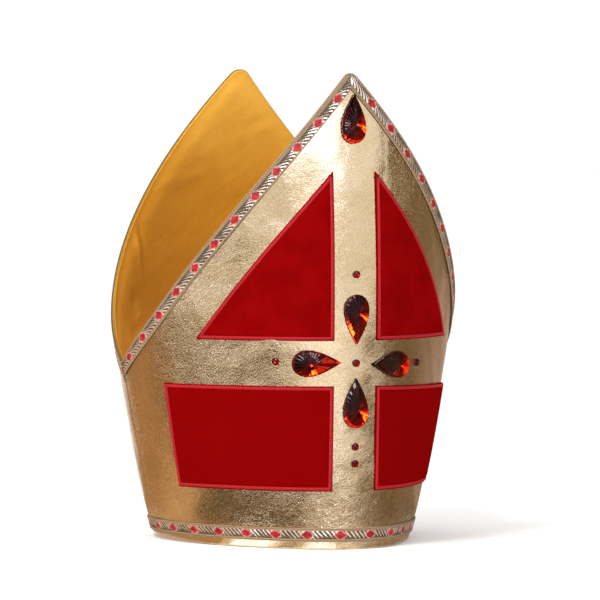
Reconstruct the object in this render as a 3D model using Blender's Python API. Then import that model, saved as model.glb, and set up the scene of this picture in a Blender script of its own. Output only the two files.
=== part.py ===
"""A bishop's mitre: two stiff gold halves with their lining, velvet panels, braid and cut stones.

Each cloth piece starts as a flat plate and is wrapped on to one of the two halves. A place on a half is an angle,
0 at its middle and a right angle at the side seams, a height above the table, and a level lift off the gold.
A distance across is measured along the wall from the middle of the half. Lengths are in metres.
The front faces -Y, and the lower rim stands at z = 0.
"""

import math
from typing import NamedTuple

import bmesh
import bpy
import numpy as np
from mathutils import Matrix, Vector

RIGHT_ANGLE = math.pi / 2


class Section(NamedTuple):
    """A level cut through the hat. Both depths are measured from the plane of the side seams."""

    height: float
    half_width: float
    front_depth: float
    back_depth: float


class Half(NamedTuple):
    """One of the two pointed halves. Its two edges would meet at the apex, were its tip not round."""

    name: str
    facing: int
    flank_draw: float
    apex: float
    tip_radius: float
    lift_angles: tuple


class Gem(NamedTuple):
    """A stone's place on the front half, and the turn of its point from straight up, in degrees."""

    name: str
    across: float
    height: float
    turn: float


class Ring(NamedTuple):
    """An outline round a stone, as shares of its girdle's size and of the stone's height."""

    size: float
    height: float


# Walls. The draw takes in the flanks between a half's middle and the seams
SECTIONS = (
    Section(0.000, 0.0855, 0.1230, 0.0950),
    Section(0.080, 0.1083, 0.1243, 0.0776),
    Section(0.160, 0.1229, 0.1254, 0.0769),
    Section(0.240, 0.1343, 0.1227, 0.0800),
    Section(0.320, 0.1297, 0.1132, 0.0685),
)
GOLD_WALL = 0.0020
LINING_WALL = 0.0010
GAP = 0.0003
LINING_TUCK = 0.0004
LINING_HEM = 0.0015

# The halves. The rim rests on the table round both middles, and lifts between two angles towards the seams
FRONT = Half("front", -1, -0.235, 0.3207, 0.006, (math.radians(60), math.radians(90)))
BACK = Half("back", 1, -0.132, 0.3263, 0.009, (math.radians(25), math.radians(55)))
SEAM_LIFT = 0.0035
NOTCH_HEIGHT = 0.1220
EDGE_SLOPE = 1.14
FLARE_START = 0.1335

# Trimmings
TRIM_GAP = 0.0004
TRIM_THICKNESS = 0.0010
BRAID_WIDTH = 0.009
BASE_BRAID_HEIGHT = 0.0053
EDGE_INSET = 0.0003
BLUNT_CORNER = 0.0012

# The gold cross that the velvet leaves bare, the corners of the velvet, and the bow of its slanting edges
CROSS_HALF_WIDTH = 0.0154
CROSS_BAR = (0.1093, 0.1395)
PANEL_FOOT = 0.039
PANEL_PEAK = 0.2525
PANEL_BOW = 0.0022
FRONT_PANEL_ACROSS = {"foot": 0.1295, "bar": 0.138, "upper": 0.1105}
BACK_PANEL_ACROSS = {"foot": 0.099, "bar": 0.104, "upper": 0.087}
RIGHT_DROOP = 0.0032

# Stones
PEAR_LENGTH = 0.0335
PEAR_WIDTH = 0.018
PEAR_HEIGHT = 0.0050
PEAR_SIDES = 18
ROUND_WIDTH = 0.0052
ROUND_HEIGHT = 0.0020
ROUND_SIDES = 10
RINGS = (Ring(1.0, 0.3), Ring(0.74, 0.75), Ring(0.42, 1.0))
POINT_SHARPNESS = 1.15
PEAR_BELLY = -0.12 * PEAR_LENGTH
PEARS = (
    Gem("tip", 0.0006, 0.2872, 4),
    Gem("top", 0.0, 0.1538, 180),
    Gem("left", -0.0273, 0.1247, 90),
    Gem("right", 0.0288, 0.1232, -90),
    Gem("bottom", 0.0, 0.0978, 0),
)
ROUNDS = (
    Gem("upper", 0.0, 0.1837, 0),
    Gem("left", -0.0545, 0.1258, 0),
    Gem("centre", 0.0, 0.1246, 0),
    Gem("right", 0.0590, 0.1234, 0),
    Gem("lower", 0.0, 0.0687, 0),
    Gem("lowest", 0.0, 0.0575, 0),
)

# Grids: the columns lie closer at the middle, where the tip is round, and the rows closer at the flared rim
COLUMN_ANGLES = [math.radians(a) for a in (0, 1.3, 2.7, *range(6, 91, 6))]
WALL_ROWS = 12
ROW_CROWDING = 1.3
PANEL_COLUMNS = 11
PANEL_ROWS = 4
EDGE_SAMPLES = 61
TIP_SAMPLE = 12
ARC_SAMPLES = 181
SMALL_STEP = 1e-4
SEAT_STEP = 1e-2

SMOOTH_LIMIT = math.radians(30)


def clear_scene():
    for obj in list(bpy.data.objects):
        bpy.data.objects.remove(obj)


# --- The surface of a half ---


def curve_through(column):
    """The smooth curve through one column of the sections, as polynomial coefficients."""
    heights = [section.height for section in SECTIONS]
    values = [getattr(section, column) for section in SECTIONS]
    return np.polyfit(heights, values, len(SECTIONS) - 1)


CURVES = {column: curve_through(column) for column in Section._fields[1:]}


def bare_skin(half, angle, height):
    """Points of the gold's outside, for arrays of angles and heights."""
    draw = 1 + half.flank_draw * (np.sin(angle) * np.cos(angle)) ** 2
    width = np.polyval(CURVES["half_width"], height)
    depth = np.polyval(CURVES[half.name + "_depth"], height)
    x = width * np.sin(angle) * draw
    y = half.facing * depth * np.cos(angle) * draw
    return np.stack([x, y, height], axis=-1)


def skin(half, angle, height, lift):
    """The point at one angle and height, lifted off level and outwards, with half of the seam's gap left open."""
    here, further = bare_skin(half, np.array([angle, angle + SMALL_STEP]), np.array([height, height]))
    outward = np.cross(further - here, (0, 0, -half.facing))
    point = here + lift * outward / np.linalg.norm(outward)
    return Vector(point) + Vector((0, half.facing * GAP / 2, 0))


def arc_lengths(half, height):
    """Angles from the middle to a side seam, and the distances across that they lie at."""
    angles = np.linspace(0, RIGHT_ANGLE, ARC_SAMPLES)
    points = bare_skin(half, angles, np.full(ARC_SAMPLES, height))
    steps = np.linalg.norm(np.diff(points, axis=0), axis=1)
    return angles, np.concatenate([[0], np.cumsum(steps)])


def angle_at(half, across, height):
    angles, lengths = arc_lengths(half, height)
    return math.copysign(np.interp(abs(across), lengths, angles), across)


def across_at(half, angle, height):
    angles, lengths = arc_lengths(half, height)
    return float(np.interp(angle, angles, lengths))


# --- The outline of a half ---


def front_edge():
    """Angles and heights down the front's edge: straight from the apex, then flared to the notch."""
    reach = across_at(FRONT, RIGHT_ANGLE, NOTCH_HEIGHT)
    flare = (NOTCH_HEIGHT - FRONT.apex + EDGE_SLOPE * reach) / (reach - FLARE_START) ** 2
    across = reach * np.linspace(0, 1, EDGE_SAMPLES) ** 1.5
    heights = FRONT.apex - EDGE_SLOPE * across + flare * np.clip(across - FLARE_START, 0, None) ** 2
    angles = [angle_at(FRONT, a, h) for a, h in zip(across, heights, strict=True)]
    return np.array(angles), heights


def round_tip(half, across, heights):
    """The heights of the edge, with the arc of the tip in place of the apex."""
    lean = math.atan2(across[TIP_SAMPLE], heights[0] - heights[TIP_SAMPLE])
    centre = heights[0] - half.tip_radius / math.sin(lean)
    arc = centre + np.sqrt(np.clip(half.tip_radius**2 - across**2, 0, None))
    return np.where(across < half.tip_radius * math.cos(lean), arc, heights)


def peak_table(half):
    """Down one side of a peak: the angles, the heights of its rounded edge, and the heights of its braid's foot.

    The back's edge lies over the front's, angle for angle, and is stretched up to its own apex.
    """
    angles, heights = front_edge()
    heights = NOTCH_HEIGHT + (heights - NOTCH_HEIGHT) * (half.apex - NOTCH_HEIGHT) / (FRONT.apex - NOTCH_HEIGHT)
    across = np.array([across_at(half, a, h) for a, h in zip(angles, heights, strict=True)])
    feet = heights - BRAID_WIDTH * np.hypot(1, np.gradient(heights, across))
    return angles, round_tip(half, across, heights), feet


PEAKS = {half.name: peak_table(half) for half in (FRONT, BACK)}


def edge_height(half, angle):
    angles, tops, _ = PEAKS[half.name]
    return float(np.interp(abs(angle), angles, tops))


def braid_foot(half, angle):
    angles, _, feet = PEAKS[half.name]
    return float(np.interp(abs(angle), angles, feet))


def rim_height(half, angle):
    """The lower rim: flat on the table, then a smooth rise towards the seams."""
    start, end = half.lift_angles
    share = min(1, max(0, (abs(angle) - start) / (end - start)))
    return SEAM_LIFT * share * share * (3 - 2 * share)


def column_angle(share):
    """The angle of a share of the way from the left seam to the right one, on the grid's columns."""
    angles = [-a for a in reversed(COLUMN_ANGLES[1:])] + COLUMN_ANGLES
    return float(np.interp(share * (len(angles) - 1), range(len(angles)), angles))


# --- Making pieces ---


def make_material(name, colour, roughness, metallic=0.0):
    material = bpy.data.materials.new(name)
    material.use_nodes = True
    shader = material.node_tree.nodes["Principled BSDF"]
    shader.inputs["Base Color"].default_value = (*colour, 1)
    shader.inputs["Roughness"].default_value = roughness
    shader.inputs["Metallic"].default_value = metallic
    return material


def add_object(name, bm, material):
    bmesh.ops.recalc_face_normals(bm, faces=bm.faces)
    if bm.calc_volume(signed=True) < 0:
        bmesh.ops.reverse_faces(bm, faces=bm.faces)
    mesh = bpy.data.meshes.new(name)
    bm.to_mesh(mesh)
    bm.free()
    mesh.materials.append(material)
    mesh.shade_smooth()
    mesh.set_sharp_from_angle(angle=SMOOTH_LIMIT)
    obj = bpy.data.objects.new(name, mesh)
    bpy.context.scene.collection.objects.link(obj)


def raise_face(bm, faces, rise):
    """Draws faces up into a block, and gives its top faces and corners."""
    raised = bmesh.ops.extrude_face_region(bm, geom=faces)["geom"]
    top_faces = [part for part in raised if isinstance(part, bmesh.types.BMFace)]
    top_verts = [part for part in raised if isinstance(part, bmesh.types.BMVert)]
    bmesh.ops.translate(bm, verts=top_verts, vec=(0, 0, rise))
    return top_faces, top_verts


def wrap_plate(name, half, grid, lifts, locate, material):
    """Wraps a flat plate of columns by rows on to a half, thick from one lift to the other.

    locate turns shares of the plate's width and height, each from 0 to 1, into an angle and a height.
    """
    bm = bmesh.new()
    bmesh.ops.create_grid(bm, x_segments=grid[0], y_segments=grid[1], size=0.5)
    raise_face(bm, bm.faces[:], 1)
    for vert in bm.verts:
        angle, height = locate(vert.co.x + 0.5, vert.co.y + 0.5)
        lift = lifts[0] + (lifts[1] - lifts[0]) * vert.co.z
        vert.co = skin(half, angle, height, lift)
    add_object(name, bm, material)


def make_wall(name, half, lifts, inset, material):
    """A whole half from its rim to its edge, with the rim raised and the edge lowered by the inset."""

    def locate(across, up):
        angle = column_angle(across)
        low = rim_height(half, angle) + inset[0]
        return angle, low + up**ROW_CROWDING * (edge_height(half, angle) - inset[1] - low)

    wrap_plate(name, half, (2 * len(COLUMN_ANGLES) - 2, WALL_ROWS), lifts, locate, material)


def make_braid(name, half, low_at, high_at, material):
    """A braid all the way across a half, between two heights that are worked out for each angle."""

    def locate(across, up):
        angle = column_angle(across)
        return angle, low_at(half, angle) * (1 - up) + high_at(half, angle) * up

    lifts = (TRIM_GAP, TRIM_GAP + TRIM_THICKNESS)
    wrap_plate(name, half, (2 * len(COLUMN_ANGLES) - 2, 1), lifts, locate, material)


def make_braids(half, material):
    def base_low(_half, _angle):
        return BASE_BRAID_HEIGHT

    def base_high(_half, _angle):
        return BASE_BRAID_HEIGHT + BRAID_WIDTH

    def peak_high(half, angle):
        return edge_height(half, angle) - EDGE_INSET

    make_braid(half.name + "_base_braid", half, base_low, base_high, material)
    make_braid(half.name + "_peak_braid", half, braid_foot, peak_high, material)


def make_panel(name, half, side, outline, material):
    """A velvet panel beside the cross, from a function of shares across and up to a distance and a height."""

    def locate(across, up):
        distance, height = outline(across, up, RIGHT_DROOP if side > 0 else 0.0)
        return angle_at(half, side * distance, height), height

    lifts = (TRIM_GAP, TRIM_GAP + TRIM_THICKNESS)
    wrap_plate(name, half, (PANEL_COLUMNS, PANEL_ROWS), lifts, locate, material)


def make_panels(half, corners, material):
    """Four panels round the cross: oblongs under its bar, and triangles over it with a bowed slanting edge."""

    def under_bar(across, up, droop):
        outer = corners["foot"] + (corners["bar"] - corners["foot"]) * up
        rise = CROSS_BAR[0] - PANEL_FOOT - droop * across
        return CROSS_HALF_WIDTH + (outer - CROSS_HALF_WIDTH) * across, PANEL_FOOT + rise * up

    def over_bar(across, up, droop):
        rise = (PANEL_PEAK - CROSS_BAR[1]) * (1 - across) + BLUNT_CORNER * across
        rise += PANEL_BOW * 4 * across * (1 - across)
        rise = max(rise - droop * across, BLUNT_CORNER)
        return CROSS_HALF_WIDTH + (corners["upper"] - CROSS_HALF_WIDTH) * across, CROSS_BAR[1] + rise * up

    for side_name, side in (("left", -1), ("right", 1)):
        make_panel(f"{half.name}_velvet_lower_{side_name}", half, side, under_bar, material)
        make_panel(f"{half.name}_velvet_upper_{side_name}", half, side, over_bar, material)


def seat_on_front(gem):
    """The frame of a stone glued to the front half: its point upwards, then turned, and its table outwards."""
    angle = angle_at(FRONT, gem.across, gem.height)
    seat = skin(FRONT, angle, gem.height, TRIM_GAP)
    sideways = (skin(FRONT, angle + SEAT_STEP, gem.height, TRIM_GAP) - seat).normalized()
    upward = (skin(FRONT, angle, gem.height + SEAT_STEP, TRIM_GAP) - seat).normalized()
    outward = sideways.cross(upward).normalized()
    frame = Matrix((upward.cross(outward), upward, outward)).transposed().to_4x4()
    return Matrix.Translation(seat) @ frame @ Matrix.Rotation(math.radians(-gem.turn), 4, "Z")


def pear_outline(bm, ring):
    """Draws a ring of points in to a pear's outline, with its point towards +Y."""
    for vert in ring:
        turn = math.atan2(vert.co.x, vert.co.y)
        vert.co.x = PEAR_WIDTH / 2 * math.sin(turn) * abs(math.sin(turn / 2)) ** POINT_SHARPNESS
        vert.co.y = PEAR_LENGTH / 2 * math.cos(turn)
    widest = max(vert.co.x for vert in ring)
    bmesh.ops.scale(bm, verts=ring, vec=(PEAR_WIDTH / 2 / widest, 1, 1))


def make_stone(name, gem, sides, height, outline, belly, material):
    """A flat-backed stone: a girdle, two rings of facets that close in round the belly, and a table."""
    bm = bmesh.new()
    circle = bmesh.ops.create_circle(bm, cap_ends=True, segments=sides, radius=ROUND_WIDTH / 2)
    outline(bm, circle["verts"])
    faces = bm.faces[:]
    below = Ring(1.0, 0.0)
    for ring in RINGS:
        covered = faces if below.height else []
        faces, corners = raise_face(bm, faces, (ring.height - below.height) * height)
        bmesh.ops.delete(bm, geom=covered, context="FACES_ONLY")
        closing = ring.size / below.size
        belly_at_origin = Matrix.Translation((0, -belly, 0))
        bmesh.ops.scale(bm, verts=corners, vec=(closing, closing, 1), space=belly_at_origin)
        below = ring
    bmesh.ops.transform(bm, verts=bm.verts, matrix=seat_on_front(gem))
    add_object(name, bm, material)


def make_stones(material):
    def keep_round(_bm, _ring):
        pass

    for gem in PEARS:
        name = "pear_stone_" + gem.name
        make_stone(name, gem, PEAR_SIDES, PEAR_HEIGHT, pear_outline, PEAR_BELLY, material)
    for gem in ROUNDS:
        name = "round_stone_" + gem.name
        make_stone(name, gem, ROUND_SIDES, ROUND_HEIGHT, keep_round, 0.0, material)


def centre_on_origin():
    """Moves every piece level, so that the middle of the whole hat's box stands over the origin."""
    meshes = [obj.data for obj in bpy.data.objects if obj.type == "MESH"]
    points = np.array([vert.co for mesh in meshes for vert in mesh.vertices])
    middle = (points.min(axis=0) + points.max(axis=0)) / 2
    for mesh in meshes:
        mesh.transform(Matrix.Translation((-middle[0], -middle[1], 0)))


def main():
    clear_scene()
    gold = make_material("gold_leatherette", (0.72, 0.53, 0.25), 0.3, 0.9)
    satin = make_material("ochre_satin", (0.62, 0.36, 0.08), 0.45)
    velvet = make_material("red_velvet", (0.30, 0.003, 0.006), 0.9)
    braid = make_material("jacquard_braid", (0.55, 0.48, 0.40), 0.4, 0.6)
    stone = make_material("red_stone", (0.25, 0.005, 0.004), 0.05)
    inner = -GOLD_WALL - GAP
    for half, corners in ((FRONT, FRONT_PANEL_ACROSS), (BACK, BACK_PANEL_ACROSS)):
        make_wall(half.name + "_half", half, (-GOLD_WALL, 0), (0, 0), gold)
        lining_inset = (LINING_HEM, LINING_TUCK)
        make_wall(half.name + "_lining", half, (inner - LINING_WALL, inner), lining_inset, satin)
        make_braids(half, braid)
        make_panels(half, corners, velvet)
    make_stones(stone)
    centre_on_origin()


if __name__ == "__main__":
    main()
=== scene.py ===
"""The looks of a bishop's mitre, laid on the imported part.

Every piece is laid on one of the hat's two pointed halves. A place on a half is an angle, 0 at its middle and a right
angle at the side seams, a height above the table, and a level lift off the gold. A distance across is measured along
the gold, level, from the half's middle. Lengths are in metres, and the front faces -Y.
"""

import math
from collections.abc import Callable
from typing import NamedTuple

import bmesh
import bpy
import numpy as np
from bpy.props import FloatProperty, FloatVectorProperty, PointerProperty
from mathutils import Matrix, Vector


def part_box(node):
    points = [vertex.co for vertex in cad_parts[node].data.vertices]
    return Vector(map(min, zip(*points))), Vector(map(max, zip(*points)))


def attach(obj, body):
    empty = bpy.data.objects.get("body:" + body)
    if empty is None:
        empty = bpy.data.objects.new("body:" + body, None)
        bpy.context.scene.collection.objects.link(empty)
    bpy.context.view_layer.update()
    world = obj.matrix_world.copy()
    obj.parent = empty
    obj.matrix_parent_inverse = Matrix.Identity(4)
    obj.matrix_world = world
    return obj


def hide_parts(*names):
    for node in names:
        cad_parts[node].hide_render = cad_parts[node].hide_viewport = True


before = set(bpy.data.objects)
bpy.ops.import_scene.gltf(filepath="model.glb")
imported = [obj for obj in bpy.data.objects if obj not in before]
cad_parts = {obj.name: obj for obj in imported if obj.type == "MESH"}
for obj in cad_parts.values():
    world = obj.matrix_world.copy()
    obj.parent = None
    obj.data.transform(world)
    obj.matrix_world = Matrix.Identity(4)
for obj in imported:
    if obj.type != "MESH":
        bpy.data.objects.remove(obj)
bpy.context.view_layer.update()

bl_info = {
    "name": "Bishop's Mitre",
    "version": (1, 0, 0),
    "blender": (4, 5, 0),
    "location": "3D View > Sidebar > Mitre",
    "description": "A gold mitre with velvet panels, jacquard braid, a satin lining and cut stones",
    "category": "Object",
}

SEAM_PLANE = (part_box("front_half")[1].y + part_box("back_half")[0].y) / 2
PATTERN = "flat_pattern"
BODY = "root"
RIGHT_ANGLE = math.pi / 2
MM = 0.001


class Section(NamedTuple):
    """A level cut through the hat. Both depths are measured from the plane of the side seams."""

    height: float
    half_width: float
    front_depth: float
    back_depth: float


class Gem(NamedTuple):
    """A stone's place on the front half, and the turn of its point from straight up, in degrees."""

    name: str
    across: float
    height: float
    turn: float


class Ring(NamedTuple):
    """An outline round a stone, as shares of its girdle's size and of the stone's height."""

    size: float
    height: float


class Cut(NamedTuple):
    """A stone's count of sides, its rings from the foot up, and where its belly lies, as a share of its length."""

    sides: int
    rings: tuple
    belly: float


class BraidRun(NamedTuple):
    """A run of braid down one side of a peak: its stretch, and its pattern's drift in from the edge, tip and notch."""

    side: int
    stretch: float
    drifts: tuple


class Grid(NamedTuple):
    """A plate's columns and rows, and the shares of its width and height that a rounded edge takes."""

    columns: int
    rows: int
    side_edge: float = 0
    end_edge: float = 0


class Swell(NamedTuple):
    """A soft swelling of a half, or a hollow where its rise is negative, laid in at a place on the half."""

    across: float
    height: float
    half_width: float
    half_height: float
    turn: float
    rise: float


class Card(NamedTuple):
    """A card round the stage, for the gold to mirror: its azimuths in degrees, and how far out and high its edges are.

    Both distances out are measured from the hat's foot.
    """

    name: str
    azimuths: tuple
    near: tuple
    far: tuple
    colour: tuple


# The part's own shape
SECTIONS = (
    Section(0.000, 0.0855, 0.1230, 0.0950),
    Section(0.080, 0.1083, 0.1243, 0.0776),
    Section(0.160, 0.1229, 0.1254, 0.0769),
    Section(0.240, 0.1343, 0.1227, 0.0800),
    Section(0.320, 0.1297, 0.1132, 0.0685),
)
CURVES = {
    column: np.polyfit([s.height for s in SECTIONS], [getattr(s, column) for s in SECTIONS], len(SECTIONS) - 1)
    for column in Section._fields[1:]
}
SEAM_GAP = 0.0003
SEAM_LIFT = 0.0035
NOTCH_HEIGHT = 0.1220
EDGE_SLOPE = 1.14
EDGE_STRETCH = math.hypot(1, EDGE_SLOPE)
FLARE_START = 0.1335
BASE_BRAID_HEIGHT = 0.0053
CROSS_HALF_WIDTH = 0.0154
CROSS_BAR = (0.1093, 0.1395)
PANEL_FOOT = 0.039
PANEL_PEAK = 0.2525
PANEL_BOW = 0.0022
BLUNT_CORNER = 0.0012
RIGHT_DROOP = 0.0032
TRIM_GAP = 0.0004
TURNED_EDGE = -0.020
FIRST_DIAMOND = 4
BASE_DIAMOND = 30
RIBS = 7
BRAID_RUNS = (BraidRun(-1, 0.984, (1.2 * MM, -0.5 * MM)), BraidRun(1, 1.018, (-0.3 * MM, -0.3 * MM)))
END_ROUNDING = 0.3 * MM
# Where the back's turned edge lies in the braid's pattern, past its edge, so that it is painted in shade
SELVEDGE_IN_PAINTED_SHADE = -3.0 * MM
TAPE_HALF_WIDTH = 2.5 * MM
WALL_BELOW_TOP = 0.8 * MM
PARED_SHARE = 0.3
GOLD_SEEDS = {"front": 3, "back": 5}
SATIN_SEEDS = {"front": 12, "back": 11}

PEARS = (
    Gem("tip", 0.0006, 0.2872, 4),
    Gem("top", 0.0, 0.1538, 180),
    Gem("left", -0.0273, 0.1247, 90),
    Gem("right", 0.0288, 0.1232, -90),
    Gem("bottom", 0.0, 0.0978, 0),
)
ROUNDS = (
    Gem("upper", 0.0, 0.1837, 0),
    Gem("left", -0.0545, 0.1258, 0),
    Gem("centre", 0.0, 0.1246, 0),
    Gem("right", 0.0590, 0.1234, 0),
    Gem("lower", 0.0, 0.0687, 0),
    Gem("lowest", 0.0, 0.0575, 0),
)

# The stones' cuts
POINT_SHARPNESS = 1.15
PEAR_FULLNESS = max(math.sin(t) * math.sin(t / 2) ** POINT_SHARPNESS for t in np.linspace(0, math.pi, 200))
PEAR_CUT = Cut(22, (Ring(1.0, 0.0), Ring(1.0, 0.26), Ring(0.86, 0.60), Ring(0.50, 0.88), Ring(0.20, 1.0)), -0.12)
ROUND_CUT = Cut(12, (Ring(1.0, 0.0), Ring(1.0, 0.3), Ring(0.74, 0.75), Ring(0.42, 1.0)), 0.0)
FLUTES = 24

# Where the gold is pushed out or in, and where the back's satin gathers, as the photo shows them
GOLD_SWELLS = (
    Swell(-0.058, 0.141, 0.010, 0.018, 0, 0.0009),
    Swell(-0.096, 0.158, 0.014, 0.013, 20, 0.0007),
    Swell(-0.078, 0.108, 0.008, 0.016, -35, -0.0005),
    Swell(-0.062, 0.132, 0.012, 0.008, 10, 0.0005),
    Swell(0.006, 0.060, 0.006, 0.016, 30, 0.0004),
    Swell(-0.006, 0.046, 0.006, 0.014, -30, -0.0003),
)
SATIN_SWELLS = (
    Swell(-0.0905, 0.2030, 0.0026, 0.017, 4, 0.0019),
    Swell(-0.0860, 0.2050, 0.0032, 0.015, 4, -0.0012),
    Swell(-0.1005, 0.162, 0.0030, 0.0045, 30, -0.0022),
    Swell(-0.1020, 0.138, 0.0040, 0.0040, 40, -0.0022),
    Swell(-0.0960, 0.150, 0.0050, 0.0025, 30, 0.0010),
    Swell(0.0130, 0.290, 0.0160, 0.0020, 24, 0.0006),
    Swell(0.0190, 0.280, 0.0180, 0.0020, 20, 0.0006),
    Swell(-0.0500, 0.244, 0.0240, 0.0040, 12, 0.0009),
)

# Grids
WALL_GRID = Grid(260, 150, 0.5 * MM / 0.15, 1.2 * MM / 0.2)
LINING_GRID = Grid(200, 120, 0.5 * MM / 0.15, 1.0 * MM / 0.2)
EDGING_GRID = Grid(360, 10)
TAPE_GRID = Grid(12, 80)
PANEL_GRID = Grid(76, 60, 0.004, 0.006)
PANEL_SIDE_POINTS = 48
BORDER_PROFILE = 12
PEAK_GRID = Grid(420, 16, 0.3 * MM / 0.25, 0.05)
BASE_GRID = Grid(560, 16, 0.3 * MM / 0.3, 0.05)
NOISE_GRID = 97
ANGLE_SAMPLES = 361
HEIGHT_SAMPLES = 81
HEIGHT_RANGE = (-0.004, 0.336)
EDGE_SAMPLES = 121
TIP_SAMPLE = 24
SMALL_STEP = 1e-4
SEAT_STEP = 1e-2
ROUNDING_ROWS = 3
CORNER_SHARE = 0.96


def smooth_step(value, start, end):
    share = np.clip((value - start) / (end - start), 0, 1)
    return share * share * (3 - 2 * share)


def blend(at, right, up):
    """Blends the values at the four corners round a place, which the function given looks up."""
    low = at(0, 0) * (1 - right) + at(1, 0) * right
    high = at(0, 1) * (1 - right) + at(1, 1) * right
    return low * (1 - up) + high * up


def soft_noise(seed, x, y, size):
    """Smooth hills and hollows between -1 and 1, about one size across, the same for the same seed."""
    grid = np.random.default_rng(seed).uniform(-1, 1, (NOISE_GRID, NOISE_GRID))
    columns, rows = x / size + 40, y / size + 40
    column, row = np.floor(columns).astype(int), np.floor(rows).astype(int)
    right, up = smooth_step(columns - column, 0, 1), smooth_step(rows - row, 0, 1)
    return blend(lambda i, j: grid[(column + i) % NOISE_GRID, (row + j) % NOISE_GRID], right, up)


def lengths_along(points):
    """How far it is along a line from its first point to each."""
    return np.concatenate([[0], np.cumsum(np.linalg.norm(np.diff(points, axis=0), axis=1))])


# --- The surface of a half ---


class Half:
    """One of the two pointed halves, with the line of its peak's edge in the flat pattern."""

    def __init__(self, name, facing, flank_draw, apex, tip_radius, lift_angles, panel_across):
        self.name = name
        self.facing = facing
        self.flank_draw = flank_draw
        self.apex = apex
        self.tip_radius = tip_radius
        self.lift_angles = [math.radians(angle) for angle in lift_angles]
        self.panel_across = panel_across
        self.heights = np.linspace(*HEIGHT_RANGE, HEIGHT_SAMPLES)
        self.shares = np.linspace(0, 1, ANGLE_SAMPLES)
        angles = self.shares * RIGHT_ANGLE
        points = self.bare(angles[None, :], self.heights[:, None])
        steps = np.linalg.norm(np.diff(points, axis=1), axis=2)
        lengths = np.concatenate([np.zeros((HEIGHT_SAMPLES, 1)), np.cumsum(steps, axis=1)], axis=1)
        self.reaches = lengths[:, -1]
        self.flat_size = (2 * float(self.reaches.max()), apex)
        self.angles = np.array([np.interp(self.shares * row[-1], row, angles) for row in lengths])
        self.lengths = lengths
        self.edge = None

    def bare(self, angle, height):
        """Points of the gold's outside, before the seam's gap."""
        draw = 1 + self.flank_draw * (np.sin(angle) * np.cos(angle)) ** 2
        width = np.polyval(CURVES["half_width"], height)
        depth = np.polyval(CURVES[self.name + "_depth"], height)
        x = width * np.sin(angle) * draw
        y = self.facing * depth * np.cos(angle) * draw
        return np.stack(np.broadcast_arrays(x, y, height), axis=-1)

    def place(self, angle, height, lift):
        """Points at an angle and a height, lifted off level and outwards."""
        angle, height, lift = np.broadcast_arrays(angle, height, lift)
        here = self.bare(angle, height)
        onward = self.bare(angle + SMALL_STEP, height) - here
        outward = np.stack([onward[..., 1], -onward[..., 0], np.zeros_like(angle)], axis=-1) * -self.facing
        outward /= np.linalg.norm(outward, axis=-1, keepdims=True)
        return here + lift[..., None] * outward + (0, self.facing * SEAM_GAP / 2 + SEAM_PLANE, 0)

    def level(self, table, height, column):
        """Looks up one of the tables of rows by height, at a column that may lie between two."""
        row = np.clip((height - HEIGHT_RANGE[0]) / (HEIGHT_RANGE[1] - HEIGHT_RANGE[0]), 0, 1) * (HEIGHT_SAMPLES - 1)
        low_row = np.minimum(row.astype(int), HEIGHT_SAMPLES - 2)
        low_column = np.minimum(column.astype(int), ANGLE_SAMPLES - 2)
        return blend(lambda i, j: table[low_row + j, low_column + i], column - low_column, row - low_row)

    def reach_at(self, height):
        return np.interp(height, self.heights, self.reaches)

    def angle_at(self, across, height):
        across, height = np.broadcast_arrays(np.asarray(across, float), np.asarray(height, float))
        share = np.clip(np.abs(across) / self.reach_at(height), 0, 1)
        return np.copysign(self.level(self.angles, height, share * (ANGLE_SAMPLES - 1)), across)

    def across_at(self, angle, height):
        angle, height = np.broadcast_arrays(np.asarray(angle, float), np.asarray(height, float))
        column = np.clip(np.abs(angle) / RIGHT_ANGLE, 0, 1) * (ANGLE_SAMPLES - 1)
        return np.copysign(self.level(self.lengths, height, column), angle)

    def rim_height(self, angle):
        return SEAM_LIFT * smooth_step(np.abs(angle), *self.lift_angles)

    def draw_edge(self, angles, heights):
        """Keeps the peak's edge, stretched up to this half's own apex."""
        stretch = (self.apex - NOTCH_HEIGHT) / (heights[0] - NOTCH_HEIGHT)
        heights = NOTCH_HEIGHT + (heights - NOTCH_HEIGHT) * stretch
        across = self.across_at(angles, heights)
        lean = math.atan2(across[TIP_SAMPLE], heights[0] - heights[TIP_SAMPLE])
        centre = heights[0] - self.tip_radius / math.sin(lean)
        arc = centre + np.sqrt(np.clip(self.tip_radius**2 - across**2, 0, None))
        tops = np.where(across < self.tip_radius * math.cos(lean), arc, heights)
        self.edge = {"angles": angles, "across": across, "heights": heights, "tops": tops}

    def top_at(self, angle):
        return np.interp(np.abs(angle), self.edge["angles"], self.edge["tops"])

    def top_over(self, across):
        return np.interp(np.abs(across), self.edge["across"], self.edge["tops"])

    def to_edge(self, angle, height):
        """How far a place lies from the peak's edge, square to it."""
        return (self.top_at(angle) - height) / EDGE_STRETCH


FRONT = Half("front", -1, -0.235, 0.3207, 0.006, (60, 90), {"foot": 0.1295, "bar": 0.138, "upper": 0.1105})
BACK = Half("back", 1, -0.132, 0.3263, 0.009, (25, 55), {"foot": 0.099, "bar": 0.104, "upper": 0.087})
HALVES = (FRONT, BACK)
SIDES = (("left", -1), ("right", 1))


def draw_edges():
    """The edge runs straight from the apex, then flares to the notch; the back's lies over the front's."""
    reach = FRONT.reach_at(NOTCH_HEIGHT)
    flare = (NOTCH_HEIGHT - FRONT.apex + EDGE_SLOPE * reach) / (reach - FLARE_START) ** 2
    across = reach * np.linspace(0, 1, EDGE_SAMPLES) ** 1.5
    heights = FRONT.apex - EDGE_SLOPE * across + flare * np.clip(across - FLARE_START, 0, None) ** 2
    angles = FRONT.angle_at(across, heights)
    for half in HALVES:
        half.draw_edge(angles, heights)


draw_edges()


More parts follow.
